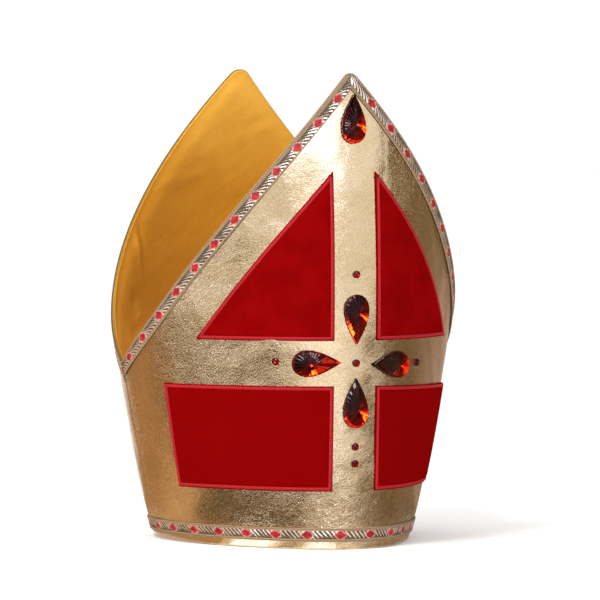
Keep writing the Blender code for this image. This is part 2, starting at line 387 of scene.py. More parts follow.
def swelling(swells, across, height):
    """The sum of the swellings at a place, each falling off as a bell."""
    total = np.zeros(np.broadcast(across, height).shape)
    for swell in swells:
        turn = math.radians(swell.turn)
        x, y = across - swell.across, height - swell.height
        along = (x * math.cos(turn) + y * math.sin(turn)) / swell.half_width
        up = (y * math.cos(turn) - x * math.sin(turn)) / swell.half_height
        total += swell.rise * np.exp(-(along**2) - up**2)
    return total


# --- Making pieces ---


def crowd(shares, count, edge):
    """Moves even shares so that a few rows at each end lie within a rounded edge, itself a share of the whole."""
    rounds = edge * (1 - np.cos(np.linspace(0, RIGHT_ANGLE, ROUNDING_ROWS + 1)))
    inner = np.linspace(edge, 1 - edge, count - 2 * ROUNDING_ROWS + 1)
    stops = np.concatenate([rounds[:-1], inner, 1 - rounds[-2::-1]])
    return np.interp(shares * count, np.arange(count + 1), stops)


def make_plate(bm, grid):
    """Adds a closed block, and gives its corners and their shares of its width, height and depth."""
    start = len(bm.verts)
    sheet = bmesh.ops.create_grid(bm, x_segments=grid.columns, y_segments=grid.rows, size=0.5)
    faces = {face for vert in sheet["verts"] for face in vert.link_faces}
    raised = bmesh.ops.extrude_face_region(bm, geom=list(faces))["geom"]
    top = [part for part in raised if isinstance(part, bmesh.types.BMVert)]
    bmesh.ops.translate(bm, verts=top, vec=(0, 0, 1))
    bm.verts.index_update()
    verts = list(bm.verts)[start:]
    u, v, w = (np.array([vert.co for vert in verts]) + (0.5, 0.5, 0)).T
    if grid.side_edge:
        u, v = crowd(u, grid.columns, grid.side_edge), crowd(v, grid.rows, grid.end_edge)
    return verts, u, v, w


def lay(bm, verts, points, *pattern):
    """Moves the corners of a plate to their points, and keeps their places in the flat pattern as a UV map."""
    uv = bm.loops.layers.uv.get(PATTERN) or bm.loops.layers.uv.new(PATTERN)
    flat = np.stack(pattern, axis=1)
    start = verts[0].index
    for vert, point in zip(verts, points, strict=True):
        vert.co = point
    for face in {face for vert in verts for face in vert.link_faces}:
        for loop in face.loops:
            loop[uv].uv = flat[loop.vert.index - start]


def new_object(name, data):
    """Adds an object to the scene, at the origin."""
    obj = bpy.data.objects.new(name, data)
    bpy.context.scene.collection.objects.link(obj)
    return obj


def new_mesh(name, bm, material):
    mesh = bpy.data.meshes.new(name)
    bm.to_mesh(mesh)
    bm.free()
    mesh.materials.append(material)
    return mesh


def finish_piece(name, bm, finish, *nodes, is_faceted=False):
    """Makes a mesh a piece of the hat that stands for its CAD nodes."""
    if bm.calc_volume(signed=True) < 0:
        bmesh.ops.reverse_faces(bm, faces=bm.faces)
    obj = new_object(name, new_mesh(name, bm, material_of(finish)))
    if not is_faceted:
        obj.data.shade_smooth()
    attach(obj, BODY)
    if nodes:
        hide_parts(*nodes)
    return obj


def rounded(distance, radius):
    """How far a rounded edge has dropped at a distance in from the edge."""
    inward = np.clip(1 - distance / radius, 0, 1)
    return radius * (1 - np.sqrt(1 - inward**2))


# --- Shading ---


def operator_for(operation, is_swapped=False):
    """A method by which one of Python's operators adds a maths node."""

    def method(self, other):
        return self.shading.math(operation, *((other, self) if is_swapped else (self, other)))

    return method


class Wire:
    """A node's output. Plain arithmetic on it adds the maths nodes."""

    def __init__(self, shading, socket):
        self.shading = shading
        self.socket = socket

    def __abs__(self):
        return self.shading.math("ABSOLUTE", self)

    __add__ = __radd__ = operator_for("ADD")
    __mul__ = __rmul__ = operator_for("MULTIPLY")
    __sub__ = operator_for("SUBTRACT")
    __rsub__ = operator_for("SUBTRACT", is_swapped=True)
    __truediv__ = operator_for("DIVIDE")
    __pow__ = operator_for("POWER")
    __gt__ = operator_for("GREATER_THAN")
    __lt__ = operator_for("LESS_THAN")


class Shading:
    """Short calls that add nodes to a new material."""

    def __init__(self, name):
        self.material = bpy.data.materials.new(name)
        self.material.use_nodes = True
        self.tree = self.material.node_tree
        self.shader = self.tree.nodes["Principled BSDF"]

    def feed(self, socket, value):
        if isinstance(value, Wire):
            self.tree.links.new(value.socket, socket)
        else:
            is_colour = socket.type == "RGBA"
            socket.default_value = (*value, 1) if is_colour else value

    def add(self, kind, inputs, output=0, **settings):
        node = self.tree.nodes.new(kind)
        for name, value in settings.items():
            setattr(node, name, value)
        for name, value in inputs.items():
            self.feed(node.inputs[name], value)
        return Wire(self, node.outputs[output])

    def set(self, **inputs):
        """Feeds the shader's sockets, whose names have spaces for underscores."""
        for name, value in inputs.items():
            self.feed(self.shader.inputs[name.replace("_", " ")], value)

    def math(self, operation, *values):
        return self.add("ShaderNodeMath", dict(enumerate(values)), operation=operation)

    def step(self, value, start, end, low=0.0, high=1.0):
        inputs = {"Value": value, "From Min": start, "From Max": end, "To Min": low, "To Max": high}
        return self.add("ShaderNodeMapRange", inputs, interpolation_type="SMOOTHSTEP")

    def mix(self, share, low, high):
        return self.add("ShaderNodeMix", {0: share, 6: low, 7: high}, 2, data_type="RGBA")

    def pattern(self):
        return self.add("ShaderNodeUVMap", {}, uv_map=PATTERN)

    def split(self, vector):
        return [self.add("ShaderNodeSeparateXYZ", {0: vector}, output) for output in (0, 1)]

    def turned(self, vector, degrees, scale):
        inputs = {"Vector": vector, "Rotation": (0, 0, math.radians(degrees)), "Scale": (*scale, 1)}
        return self.add("ShaderNodeMapping", inputs, vector_type="TEXTURE")

    def noise(self, vector, size, detail=2.0, roughness=0.5, distortion=0.0, output=0):
        inputs = {"Scale": 1 / size, "Detail": detail, "Roughness": roughness, "Distortion": distortion}
        return self.add("ShaderNodeTexNoise", {"Vector": vector, **inputs}, output)

    def bump(self, height, depth, strength=1.0, **below):
        return self.add("ShaderNodeBump", {"Height": height, "Distance": depth, "Strength": strength, **below})


def gold_leather(colours):
    """Metallic foil on leather: a fine crackle over soft dents and hills, with brighter and duller patches."""
    s = Shading("gold_leather")
    flat = s.pattern()
    push = s.noise(flat, 4 * MM, output=1)
    push = s.add("ShaderNodeVectorMath", {0: push, 3: 2.2 * MM}, operation="SCALE")
    pushed = s.add("ShaderNodeVectorMath", {0: flat, 1: push}, operation="ADD")
    slanted = s.turned(pushed, 48, (1.5, 1.0))
    cells = {"Vector": slanted, "Scale": 1 / (1.3 * MM)}
    crease = s.step(s.add("ShaderNodeTexVoronoi", cells, feature="DISTANCE_TO_EDGE"), 0.0, 0.22)
    crackle = crease * 0.3 + s.noise(slanted, 1.0 * MM, 2, 0.6, 0.7)
    # The crackle and the hills are faintest up the middle, and full a little way to its right
    across, up = s.split(flat)
    aside = abs(across) + s.step(across, 12 * MM, 30 * MM, 0.0, 55 * MM)
    away = aside + (0.12 - up) * 0.45 + s.noise(flat, 24 * MM) * (50 * MM)
    crackled = s.step(away, 20 * MM, 90 * MM, 0.3, 1.0)
    hilly = s.step(away, 20 * MM, 90 * MM, 0.5, 1.0)
    dents = s.noise(s.turned(flat, 30, (1.5, 1.0)), 8 * MM, 2, 0.5, 0.4)
    hills = s.noise(s.turned(flat, 20, (1.0, 1.6)), 30 * MM, 1, 0.4)
    broad = s.bump(hills * hilly, 2.6 * MM)
    middle = s.bump(dents * hilly, 0.35 * MM, Normal=broad)
    s.set(Normal=s.bump(crackle * crackled, 0.19 * MM, Normal=middle))
    patches = s.noise(flat, 30 * MM, 3, 0.6)
    tone = s.mix(s.step(patches, 0.35, 0.65), colours.gold, colours.gold_deep)
    # The bottoms of the creases are painted darker, as painted shade
    s.set(Base_Color=s.mix(s.step(crease, 0.7, 0.0, 0.0, 0.35), tone, colours.gold_crease_shade))
    s.set(Roughness=s.step(patches, 0.3, 0.7, 0.06, 0.11), Metallic=1.0)
    return s.material


def ochre_satin(colours):
    """Polyester satin: a fine twill and slanting wrinkles. Its colour carries painted light up in the peaks and
    painted shade down inside.
    """
    s = Shading("ochre_satin")
    flat = s.pattern()
    _, up = s.split(flat)
    threads = s.noise(s.turned(flat, 4, (1, 14)), 0.35 * MM, 2, 0.6)
    slubs = s.noise(s.turned(flat, 4, (9, 1)), 3 * MM)
    clouds = s.noise(flat, 40 * MM, 3, 0.55)
    wrinkles = s.noise(s.turned(flat, 32, (5, 1)), 9 * MM, 2, 0.5, 0.3)
    # Painted light and shade by height: the lit tone fills the peaks and comes back part way near the foot, with
    # painted shade in a band between, its edge broken up by the clouds
    depth = up + (clouds - 0.5) * 0.05
    lit = s.math("MAXIMUM", s.step(depth, 0.230, 0.330), s.step(depth, 0.170, 0.125, 0.0, 0.8))
    tone = s.mix(lit, colours.satin_shade, colours.satin)
    # The satin turned over the wall's edge is given a darker colour, as painted shade
    tone = s.mix(s.step(up, TURNED_EDGE / 2, 0.0), colours.satin_turned_painted_shade, tone)
    s.set(Base_Color=s.mix(s.step(threads, 0.3, 0.7, 0.0, 0.12), tone, colours.satin_light))
    s.set(Roughness=s.step(slubs, 0.3, 0.7, 0.36, 0.5))
    s.set(Normal=s.bump(threads, 0.06 * MM, 0.8, Normal=s.bump(wrinkles, 0.5 * MM)))
    s.set(Sheen_Weight=0.12, Sheen_Roughness=0.4, Sheen_Tint=colours.satin_light)
    s.set(Specular_IOR_Level=0.35, Specular_Tint=colours.satin_light)
    return s.material


def red_velvet(colours):
    """A short dense pile: dull from the front, lighter in cloudy patches where it leans, and darker low down as
    painted shade.
    """
    s = Shading("red_velvet")
    flat = s.pattern()
    _, up = s.split(flat)
    streaks = s.noise(s.turned(flat, 6, (1, 12)), 2.4 * MM, 3, 0.6)
    lean = streaks * 0.15 + s.noise(flat, 22 * MM, 3, 0.55) * 0.85
    # Darker low down is painted shade; the lighter cloudy patches are where the pile leans
    lit = s.step(lean, 0.38, 0.62) * s.step(up, 90 * MM, 150 * MM, 0.3, 1.0)
    s.set(Base_Color=s.mix(lit, colours.velvet_standing_and_painted_shade, colours.velvet))
    pile = s.noise(flat, 0.45 * MM, 2, 0.7)
    s.set(Roughness=0.95, Normal=s.bump(pile, 0.18 * MM, 0.7), Specular_IOR_Level=0.0)
    s.set(Sheen_Weight=0.04, Sheen_Roughness=0.3, Sheen_Tint=colours.stitch)
    return s.material


def satin_stitch(colours):
    """Embroidery thread laid side by side across the border."""
    s = Shading("satin_stitch")
    flat = s.pattern()
    along, _ = s.split(flat)
    threads = s.math("SINE", along * (math.tau / (0.42 * MM)))
    tone = s.noise(s.turned(flat, 0, (1, 30)), 0.8 * MM, 2, 0.6)
    s.set(Base_Color=s.mix(s.step(tone, 0.3, 0.7), colours.stitch_shade, colours.stitch))
    s.set(Roughness=0.5, Normal=s.bump(threads, 0.04 * MM, 0.8), Specular_IOR_Level=0.04)
    return s.material


def jacquard(colours):
    """Braid woven in repeats: red diamonds in a pale ragged ring, silver ribs on a dark ground, and corded edges."""
    s = Shading("jacquard_braid")
    sizes = bpy.context.scene.mitre_sizes
    repeat, half_width = sizes.braid_repeat, sizes.braid_width / 2
    flat = s.pattern()
    along, across = s.split(flat)

    # The diamonds and their rings, none of them right at the tip
    place = s.math("FRACT", along / repeat + 0.5) - 0.5
    middle = across - half_width
    from_middle = abs(middle)
    long_share = (abs(place * repeat) / (3.7 * MM)) ** 1.3
    wide_share = (from_middle / (2.7 * MM)) ** 1.3
    diamond = long_share + wide_share + (s.noise(flat, 0.9 * MM, 2, 0.6) - 0.5) * 1.6
    is_there = abs(along) > (FIRST_DIAMOND - 0.5) * repeat
    is_base = abs(along) > (BASE_DIAMOND - 8) * repeat
    is_red = s.step(diamond, 1.08, 0.98) * is_there
    is_ring = s.step(diamond, 1.40, 1.20) * is_there

    # The ribs, which slant one way and bend, and fade where the silver is dull
    lean = middle * (1.8 - is_base)
    bend = middle * middle * ((1.0 - is_base) * -240.0)
    waver = s.noise(flat, 3.2 * MM, 1) * (0.9 * MM)
    slant = (lean - along) + (bend + waver)
    rib = s.math("COSINE", slant * (math.tau * RIBS / repeat))
    beside = s.math("COSINE", place * math.tau) * 0.3
    fray = (s.noise(flat, 1.1 * MM, 2, 0.6) - 0.5) * 2.4
    near_tip = s.step(along, -(FIRST_DIAMOND + 8) * repeat, -(FIRST_DIAMOND + 6) * repeat) * (along < 0.0)
    dull = (s.noise(flat, 7 * MM, 1) - 0.5) * -2.4 - near_tip * 0.45
    faded = dull + s.step(middle, -2.8 * MM, 0.4 * MM, -1.3, -0.1)
    silver = s.step((rib + beside) + (fray + faded), -0.6, 0.4)

    # The cords down both edges, and their twist
    from_edge = half_width - from_middle
    cord = s.math("COSINE", from_edge * (math.tau / (1.3 * MM)))
    twist = s.math("SINE", (along + middle) * (math.tau / (1.15 * MM)))
    is_edge = s.step(from_middle, half_width - 1.95 * MM, half_width - 1.75 * MM)
    spun = cord * 0.6 + (twist + fray * 0.8)
    # The pale cords, with painted shade between them and over the back's turned edge, which lies past the braid's edge
    # in the pattern
    cord_pattern_with_painted_shade = s.step(spun, -1.0, 0.9) * s.step(from_edge, -2.6 * MM, -2.0 * MM)
    border = s.mix(cord_pattern_with_painted_shade, colours.braid_edge_shade, colours.braid_edge)

    ground = s.mix(silver, colours.braid_ground, colours.braid_silver)
    ground = s.mix(is_ring, ground, colours.braid_ring)
    red = s.mix(s.step(s.noise(flat, 4 * MM, 3, 0.8), 0.4, 0.62), colours.braid_red_deep, colours.braid_red)
    s.set(Base_Color=s.mix(is_edge, s.mix(is_red, ground, red), border))
    lurex = silver * (1.0 - s.math("MAXIMUM", is_ring, is_edge))
    s.set(Metallic=lurex * 0.85, Roughness=s.step(lurex, 0.0, 1.0, 0.6, 0.3))
    field = rib * 0.5 + is_ring * 0.8
    weave = (1.0 - is_edge) * field + is_edge * (cord + twist * 0.4)
    s.set(Normal=s.bump(weave, 0.12 * MM, 0.9), Specular_IOR_Level=0.15)
    return s.material


def foiled_crystal(colours):
    """A clear crown over red foil. The foil is pressed as a hollow star, and the crown is fluted over it."""
    s = Shading("foiled_crystal")
    across, up = s.split(s.pattern())
    out = s.math("SQRT", across * across + up * up)
    turn = s.math("ARCTAN2", across, up) * (FLUTES / math.tau)
    flute = out * s.math("SINE", turn * math.tau)
    steeper = s.math("MAXIMUM", out - 1.8 * MM, 0.0)
    foil = (out * 0.6 + steeper * 0.95) + flute * 0.007
    facet = {0: s.math("FLOOR", turn), 1: s.math("FLOOR", out / (2.6 * MM))}
    chance = s.add("ShaderNodeTexWhiteNoise", {"Vector": s.add("ShaderNodeCombineXYZ", facet)})
    # Painted light: the foil's colour is lit towards the lower right, with painted fire there, and painted shade
    # towards the upper left, changed a little facet by facet
    painted_fire = (across * 0.6 - up * 0.8) / (6 * MM) + (chance - 0.5) * 1.3
    body = s.mix(s.step(painted_fire, -0.7, 0.5), colours.stone_painted_shade, colours.stone)
    body = s.mix(s.step(painted_fire, 0.45, 0.95), body, colours.stone_painted_fire)
    s.set(Base_Color=body, Metallic=1.0, Roughness=0.06, Normal=s.bump(foil, 1.0))
    s.set(Coat_Weight=0.3, Coat_Roughness=0.0, Coat_IOR=1.35, Coat_Normal=s.bump(flute, 0.012))
    return s.material


def glow(name, colour):
    """A card's own light."""
    s = Shading(name)
    strength = max(colour)
    s.set(Base_Color=(0, 0, 0), Specular_IOR_Level=0.0)
    s.set(Emission_Color=[part / strength for part in colour], Emission_Strength=strength)
    return s.material


class Finish(NamedTuple):
    """A material, made at its first use, and the slot of the pieces that wear it."""

    make: Callable
    slot: str


FINISHES = {
    "gold": Finish(gold_leather, "gold_leatherette"),
    "satin": Finish(ochre_satin, "ochre_satin"),
    "velvet": Finish(red_velvet, "red_velvet"),
    "stitch": Finish(satin_stitch, "red_velvet"),
    "braid": Finish(jacquard, "jacquard_braid"),
    "crystal": Finish(foiled_crystal, "red_stone"),
}
MATERIALS = {}


def material_of(finish):
    if finish not in MATERIALS:
        MATERIALS[finish] = FINISHES[finish].make(bpy.context.scene.mitre_colours)
    return MATERIALS[finish]


# --- Gold walls and lining ---


def ripple(half, across, height, sizes):
    """The soft hills and hollows of the gold, as lifts."""
    seed = GOLD_SEEDS[half.name]
    broad = soft_noise(seed, across, height, 26 * MM)
    small = soft_noise(seed + 20, across, height, 11 * MM)
    at_seam = smooth_step(half.reach_at(height) - np.abs(across), 0, 12 * MM)
    by_hand = swelling(GOLD_SWELLS, across, height) if half is FRONT else 0
    return (sizes.ripple * (0.75 * broad + 0.25 * small) + by_hand) * at_seam


def wall_depth(sizes, to_edge):
    """The gold wall is pared thin towards the peak's edge, where the lining is drawn up to it."""
    return sizes.gold_wall * (PARED_SHARE + (1 - PARED_SHARE) * smooth_step(to_edge, 1 * MM, 14 * MM))


def make_wall(half, sizes):
    bm = bmesh.new()
    verts, u, v, w = make_plate(bm, WALL_GRID)
    angle = (2 * u - 1) * RIGHT_ANGLE
    low, top = half.rim_height(angle), half.top_at(angle) - WALL_BELOW_TOP
    height = low + (top - low) * v
    across = half.across_at(angle, height)
    to_edge = (top - height) / EDGE_STRETCH
    depth = wall_depth(sizes, to_edge)
    to_side = np.minimum(half.reach_at(height) - np.abs(across), height - low)
    drop = rounded(np.minimum(to_side, to_edge), sizes.edge_rounding) * depth / sizes.gold_wall
    lift = np.where(w > 0.5, ripple(half, across, height, sizes) - drop, -depth)
    lay(bm, verts, half.place(angle, height, lift), across, height)
    obj = finish_piece("gold_" + half.name, bm, "gold", half.name + "_half")


def add_edging(bm, half, outer, inner, middle):
    """A narrow strip turned over the top of the wall, between two lifts. Its pattern keeps to the middle given."""
    verts, u, v, w = make_plate(bm, EDGING_GRID)
    share = 2 * u - 1
    angle = np.copysign(np.abs(share) ** 1.3, share) * (RIGHT_ANGLE - 0.001)
    lift = outer - v * (outer - inner)
    crown = 0.3 * MM * np.sqrt(np.clip(1 - (2 * v - 1) ** 2, 0, 1))
    fall = 0 if half is FRONT else 0.4 * MM * v
    height = half.top_at(angle) - 0.35 * MM - fall + w * (0.2 * MM + crown)
    across = half.across_at(angle, height)
    lay(bm, verts, half.place(angle, height, lift), across, middle + 0.3 * MM * (v - 0.5))


def lining_folds(half, across, height, sizes):
    """How far the satin stands in from the gold: pulls from the notch, and slack between."""
    seed = SATIN_SEEDS[half.name]
    slack = soft_noise(seed, across + 0.4 * height, height * 0.6, 34 * MM)
    pulls = soft_noise(seed + 2, across * 0.5 + height, height - across, 15 * MM)
    at_edge = smooth_step(half.top_over(across) - height, 1 * MM, 16 * MM)
    at_edge *= smooth_step(half.reach_at(height) - np.abs(across), 0.5 * MM, 14 * MM)
    at_edge *= smooth_step(height, 2 * MM, 20 * MM)
    gathers = swelling(SATIN_SWELLS, across, height) if half is BACK else 0
    return np.maximum(sizes.lining_fold * (0.6 + 0.3 * slack + 0.1 * pulls) + gathers, 0) * at_edge


def make_lining(half, sizes):
    bm = bmesh.new()
    verts, u, v, w = make_plate(bm, LINING_GRID)
    angle = (2 * u - 1) * RIGHT_ANGLE
    low, top = half.rim_height(angle) + 1.5 * MM, half.top_at(angle) - (0.3 + 0.9 * w) * MM
    height = low + (top - low) * v
    across = half.across_at(angle, height)
    outer = -wall_depth(sizes, half.to_edge(angle, height)) - SEAM_GAP
    inner = outer - sizes.lining_wall - lining_folds(half, across, height, sizes)
    lay(bm, verts, half.place(angle, height, np.where(w > 0.5, inner, outer)), across, height)
    if half is BACK:
        add_edging(bm, half, 0.1 * MM, -wall_depth(sizes, 0.0) - SEAM_GAP - 0.4 * MM, TURNED_EDGE)
    obj = finish_piece("satin_" + half.name, bm, "satin", half.name + "_lining")


def make_seam_tape(side_name, side, sizes):
    """A tape of the lining's satin, laid over a side seam inside."""
    bm = bmesh.new()
    verts, u, v, w = make_plate(bm, TAPE_GRID)
    low, top = SEAM_LIFT + 2 * MM, float(FRONT.top_at(RIGHT_ANGLE)) - 1 * MM
    height = low + (top - low) * v
    aside = 2 * u - 1
    crown = np.sqrt(np.clip(1 - aside**2, 0, 1))
    sides = []
    for half in HALVES:
        across = half.reach_at(height) - np.abs(aside) * TAPE_HALF_WIDTH
        angle = half.angle_at(side * across, height)
        under = -wall_depth(sizes, half.to_edge(angle, height)) - SEAM_GAP - sizes.lining_wall
        lift = under + np.where(w > 0.5, 0.1 * MM, -0.05 * MM - 0.3 * MM * crown)
        sides.append(half.place(angle, height, lift))
    lay(bm, verts, np.where((aside < 0)[:, None], *sides), aside * TAPE_HALF_WIDTH, height)
    finish_piece("satin_seam_" + side_name, bm, "satin")


# --- Velvet panels and their borders ---


def panel_place(half, side, kind, across, up):
    """A panel's distance across and height, from shares of its width and height."""
    corners = half.panel_across
    droop = RIGHT_DROOP * across if side > 0 else 0.0
    if kind == "lower":
        outer = corners["foot"] + (corners["bar"] - corners["foot"]) * up
        foot, rise = PANEL_FOOT, CROSS_BAR[0] - PANEL_FOOT - droop
    else:
        outer, foot = corners["upper"], CROSS_BAR[1]
        rise = (PANEL_PEAK - foot) * (1 - across) + BLUNT_CORNER * across + PANEL_BOW * 4 * across * (1 - across)
        rise = np.maximum(rise - droop, BLUNT_CORNER)
    return CROSS_HALF_WIDTH + (outer - CROSS_HALF_WIDTH) * across, foot + rise * up


def panel_outline(half, side, kind):
    """The panel's outline as a closed ring of points. The side makes no mirror here."""
    share = np.linspace(0, 1, PANEL_SIDE_POINTS + 1)[:-1]
    zero, one = np.zeros(PANEL_SIDE_POINTS), np.ones(PANEL_SIDE_POINTS)
    runs = [(share, zero), (one, share), (1 - share, one), (zero, 1 - share)]
    if kind == "upper":
        # Its outer corner is so narrow that one point in the corner's middle is enough
        out, back = share < CORNER_SHARE, 1 - share < CORNER_SHARE
        runs[0] = (share[out], zero[out])
        runs[1] = (one[:1], zero[:1] + 0.5)
        runs[2] = (1 - share[back], one[back])
    return np.concatenate([np.stack(panel_place(half, side, kind, *run), axis=1) for run in runs])


def inset_outline(points, distance):
    """A closed ring of points, moved in by a distance with mitred corners."""
    along = np.roll(points, -1, axis=0) - points
    along /= np.linalg.norm(along, axis=1, keepdims=True)
    inward = np.stack([-along[:, 1], along[:, 0]], axis=1)
    before = np.roll(inward, 1, axis=0)
    mitre = (inward + before) / (1 + np.sum(inward * before, axis=1, keepdims=True))
    return points + distance * mitre


def distance_to_ring(points, ring):
    """Each point's distance from the nearest side of a closed ring."""
    nearest = np.full(len(points), np.inf)
    for start, end in zip(ring, np.roll(ring, -1, axis=0), strict=True):
        run = end - start
        share = np.clip((points - start) @ run / (run @ run), 0, 1)
        nearest = np.minimum(nearest, np.linalg.norm(points - start - share[:, None] * run, axis=1))
    return nearest


def make_panel(half, side_name, side, kind, sizes):
    """A velvet panel, pressed down under its border, and the border stitched round it."""
    ring = panel_outline(half, side, kind)
    bm = bmesh.new()
    verts, u, v, w = make_plate(bm, PANEL_GRID)
    across, height = panel_place(half, side, kind, u, v)
    to_side = distance_to_ring(np.stack([across, height], axis=1), ring)
    inner_edge = sizes.border_inset + sizes.border_width
    pressed = sizes.pile * (1 - 0.55 * smooth_step(to_side, inner_edge + 1.2 * MM, inner_edge - 0.2 * MM))
    lift = np.where(w > 0.5, TRIM_GAP + pressed - rounded(to_side, 0.45 * MM), TRIM_GAP)
    angle = half.angle_at(side * across, height)
    lay(bm, verts, half.place(angle, height, lift), side * across, height)
    place = f"{kind}_{side_name}"
    panel = finish_piece(f"{half.name}_pile_{place}", bm, "velvet", f"{half.name}_velvet_{place}")
    border = make_border(half, side, f"{half.name}_border_{place}", ring, sizes)


def make_border(half, side, name, ring, sizes):
    """A rounded band of stitches between two rings, closed all round."""
    outer = inset_outline(ring, sizes.border_inset)
    inner = inset_outline(ring, sizes.border_inset + sizes.border_width)
    closed = np.arange(len(ring) + 1) % len(ring)
    lengths = lengths_along(ring[closed])
    bm = bmesh.new()
    verts = bmesh.ops.create_grid(bm, x_segments=len(ring), y_segments=BORDER_PROFILE, size=0.5)["verts"]
    bm.verts.index_update()
    shares = np.array([vert.co for vert in verts])[:, :2] + 0.5
    station = np.rint(shares[:, 0] * len(ring)).astype(int)
    turn = shares[:, 1] * math.tau
    inward, rise = (1 - np.cos(turn)) / 2, np.sin(turn)
    crown = np.where(rise > 0, sizes.border_height * np.abs(rise) ** 0.8, 0.2 * MM * rise)
    flat = outer[closed[station]] * (1 - inward[:, None]) + inner[closed[station]] * inward[:, None]
    angle = half.angle_at(side * flat[:, 0], flat[:, 1])
    points = half.place(angle, flat[:, 1], TRIM_GAP + 0.35 * MM + crown)
    lay(bm, verts, points, lengths[station], shares[:, 1] * sizes.border_width * 2)
    bmesh.ops.remove_doubles(bm, verts=bm.verts, dist=1e-7)
    return finish_piece(name, bm, "stitch")


# --- Braids ---


def braid_lift(along, across, sizes, drift=0.0):
    """The braid's relief: a cord down each edge, and raised diamonds."""
    to_edge = sizes.braid_width / 2 - np.abs(across - sizes.braid_width / 2)
    from_middle = np.abs(across - drift - sizes.braid_width / 2)
    repeats = along / sizes.braid_repeat
    from_diamond = np.abs(repeats - np.rint(repeats)) * sizes.braid_repeat
    diamond = smooth_step((from_diamond / (4.1 * MM)) ** 1.4 + (from_middle / (3.0 * MM)) ** 1.4, 1.25, 0.7)
    diamond *= along > (FIRST_DIAMOND - 0.5) * sizes.braid_repeat
    cord = np.clip(1 - ((to_edge - 0.85 * MM) / (0.85 * MM)) ** 2, 0, 1)
    lift = 0.55 * MM + 0.35 * MM * cord + 0.25 * MM * diamond
    return TRIM_GAP + lift - rounded(np.clip(to_edge, 0, None), END_ROUNDING)


def make_peak_braid(half, sizes):
    """Two runs of braid down the peak's edges, mitred at the tip, whose patterns drift a little across."""
    edge = half.edge
    lengths = lengths_along(np.stack([edge["across"], edge["heights"]], axis=1))
    slopes = -np.gradient(edge["heights"], edge["across"])
    bm = bmesh.new()
    phases = (sizes.braid_phase_left, sizes.braid_phase_right)
    for run, phase in zip(BRAID_RUNS, phases, strict=True):
        verts, u, v, w = make_plate(bm, PEAK_GRID)
        down = v * sizes.braid_width
        start, end = slopes[0] * down, lengths[-1] + slopes[-1] * down
        along = start + (end - start) * u
        slope = np.interp(along, lengths, slopes)
        onward = np.clip(along - lengths[-1], 0, None) / np.hypot(1, slope)
        across = np.interp(along, lengths, edge["across"]) + onward - down * slope / np.hypot(1, slope)
        height = np.interp(along, lengths, edge["heights"]) - onward * slope - down / np.hypot(1, slope)
        across = np.clip(across, 0.05 * MM, half.reach_at(height))
        height = np.minimum(height, half.top_over(across) - 0.3 * MM)
        woven = (along - phase) / run.stretch + FIRST_DIAMOND * sizes.braid_repeat
        drift = np.interp(along, (0, lengths[-1]), run.drifts)
        relief = braid_lift(woven, down, sizes, drift) - rounded(along - start, END_ROUNDING)
        angle = half.angle_at(run.side * across, height)
        lift = np.where(w > 0.5, relief, TRIM_GAP)
        lay(bm, verts, half.place(angle, height, lift), run.side * woven, down - drift)
    if half is FRONT:
        add_edging(bm, half, TRIM_GAP + 0.6 * MM, -wall_depth(sizes, 0.0) - 0.35 * MM, 0.0)
    else:
        # The back's turned edge is painted in shade: its pattern lies past the braid's edge, where the cords go dark
        add_edging(bm, half, TRIM_GAP + 0.6 * MM, -0.05 * MM, SELVEDGE_IN_PAINTED_SHADE)
    finish_piece("peak_braid_" + half.name, bm, "braid", half.name + "_peak_braid")


def make_base_braid(half, sizes):
    bm = bmesh.new()
    verts, u, v, w = make_plate(bm, BASE_GRID)
    middle = BASE_BRAID_HEIGHT + sizes.braid_width / 2
    reach = float(half.reach_at(middle))
    along, up = (2 * u - 1) * reach, v * sizes.braid_width
    angle = half.angle_at(along, np.full_like(along, middle))
    woven = along - sizes.base_braid_phase + BASE_DIAMOND * sizes.braid_repeat
    relief = braid_lift(woven, up, sizes) - rounded(reach - np.abs(along), END_ROUNDING)
    points = half.place(angle, BASE_BRAID_HEIGHT + up, np.where(w > 0.5, relief, TRIM_GAP))
    lay(bm, verts, points, -woven, up)
    finish_piece("base_braid_" + half.name, bm, "braid", half.name + "_base_braid")


# --- Stones ---


def seat_on_front(gem):
    """The frame of a stone glued to the front half: its point upwards, then turned, and its table outwards."""
    angle = float(FRONT.angle_at(gem.across, gem.height))
    angles = np.array([angle, angle + SEAT_STEP, angle])
    heights = np.array([gem.height, gem.height, gem.height + SEAT_STEP])
    seat, beside, above = (Vector(point) for point in FRONT.place(angles, heights, TRIM_GAP))
    sideways, upward = (beside - seat).normalized(), (above - seat).normalized()
    outward = sideways.cross(upward).normalized()
    turned = Matrix((upward.cross(outward), upward, outward)).transposed().to_4x4()
    return Matrix.Translation(seat) @ turned @ Matrix.Rotation(math.radians(-gem.turn), 4, "Z")


